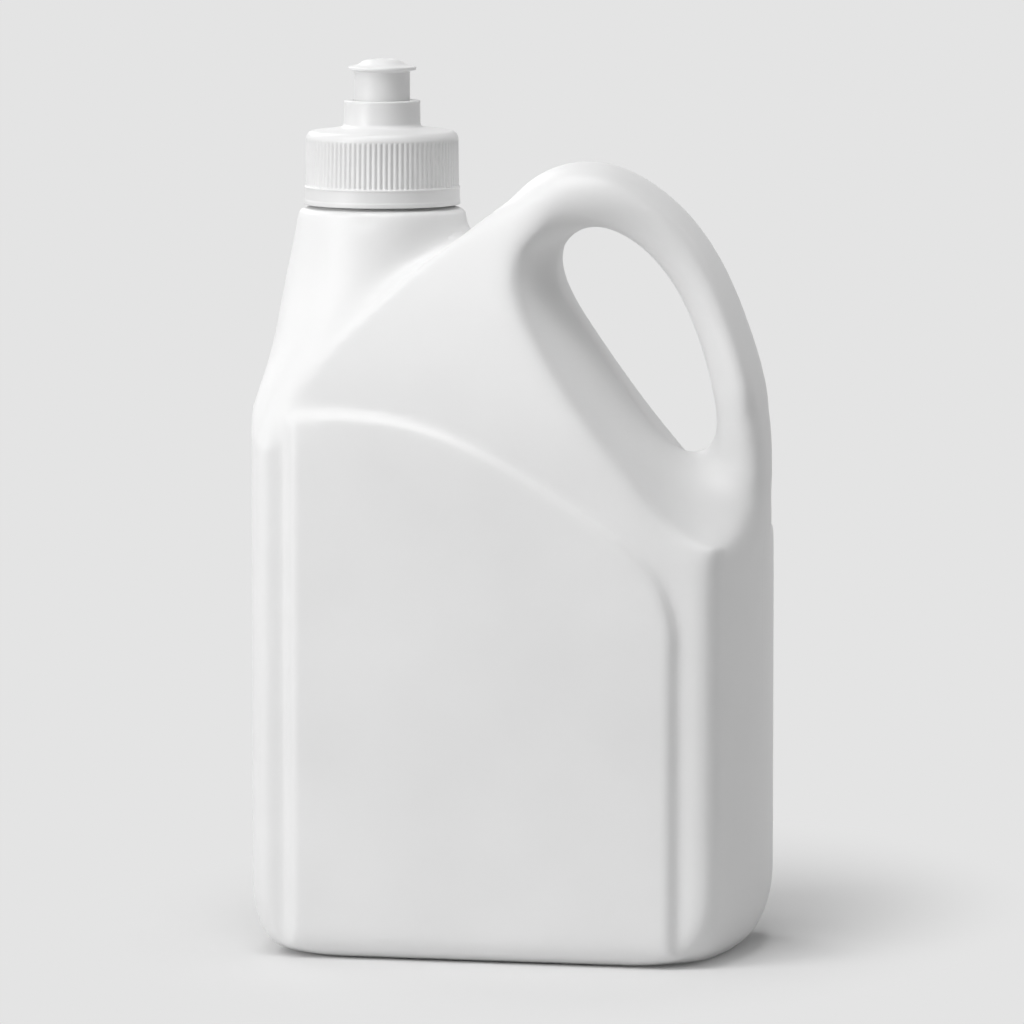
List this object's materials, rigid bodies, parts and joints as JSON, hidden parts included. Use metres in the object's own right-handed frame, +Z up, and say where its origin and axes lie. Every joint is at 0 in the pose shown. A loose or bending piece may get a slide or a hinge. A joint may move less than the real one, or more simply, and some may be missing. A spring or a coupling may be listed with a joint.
{
  "type": "plastic liquid jug with push-pull cap",
  "caption": "Blow-moulded plastic jug with an integral grip handle, raised label panels and a ribbed screw cap whose spout pulls up to open.",
  "frame": {"origin": "middle of the base, on the surface the jug stands on", "axes": "+Z up through the height, +X towards the handle, +Y out of the back; the front label panel faces -Y"},
  "size_m": [0.1384, 0.0818, 0.2388],
  "materials": {
    "bottle_hdpe": "satin",
    "cap_pp": "satin",
    "spout_pe": "satin",
    "liner_foam": "matte"
  },
  "bodies": {
    "bottle": {"bottle": "bottle_hdpe"},
    "seal_liner": {"seal_liner": "liner_foam"},
    "cap": {"cap": "cap_pp"},
    "spout": {"spout": "spout_pe"}
  },
  "joints": [
    {"name": "cap_lift", "type": "slide", "parent": "bottle", "child": "seal_liner", "axis": [0, 0, 1], "range_m": [0, 0.018]},
    {"name": "cap_turn", "type": "hinge", "parent": "seal_liner", "child": "cap", "pos_m": [-0.0365, 0, 0.2096], "axis": [0, 0, 1], "range_deg": [0, 1530]},
    {"name": "spout_pull", "type": "slide", "parent": "cap", "child": "spout", "axis": [0, 0, 1], "range_m": [0, 0.005]}
  ],
  "couplings": [
    {"joint": "cap_lift", "follows": "cap_turn", "m_per_rad": 0.00067376}
  ]
}
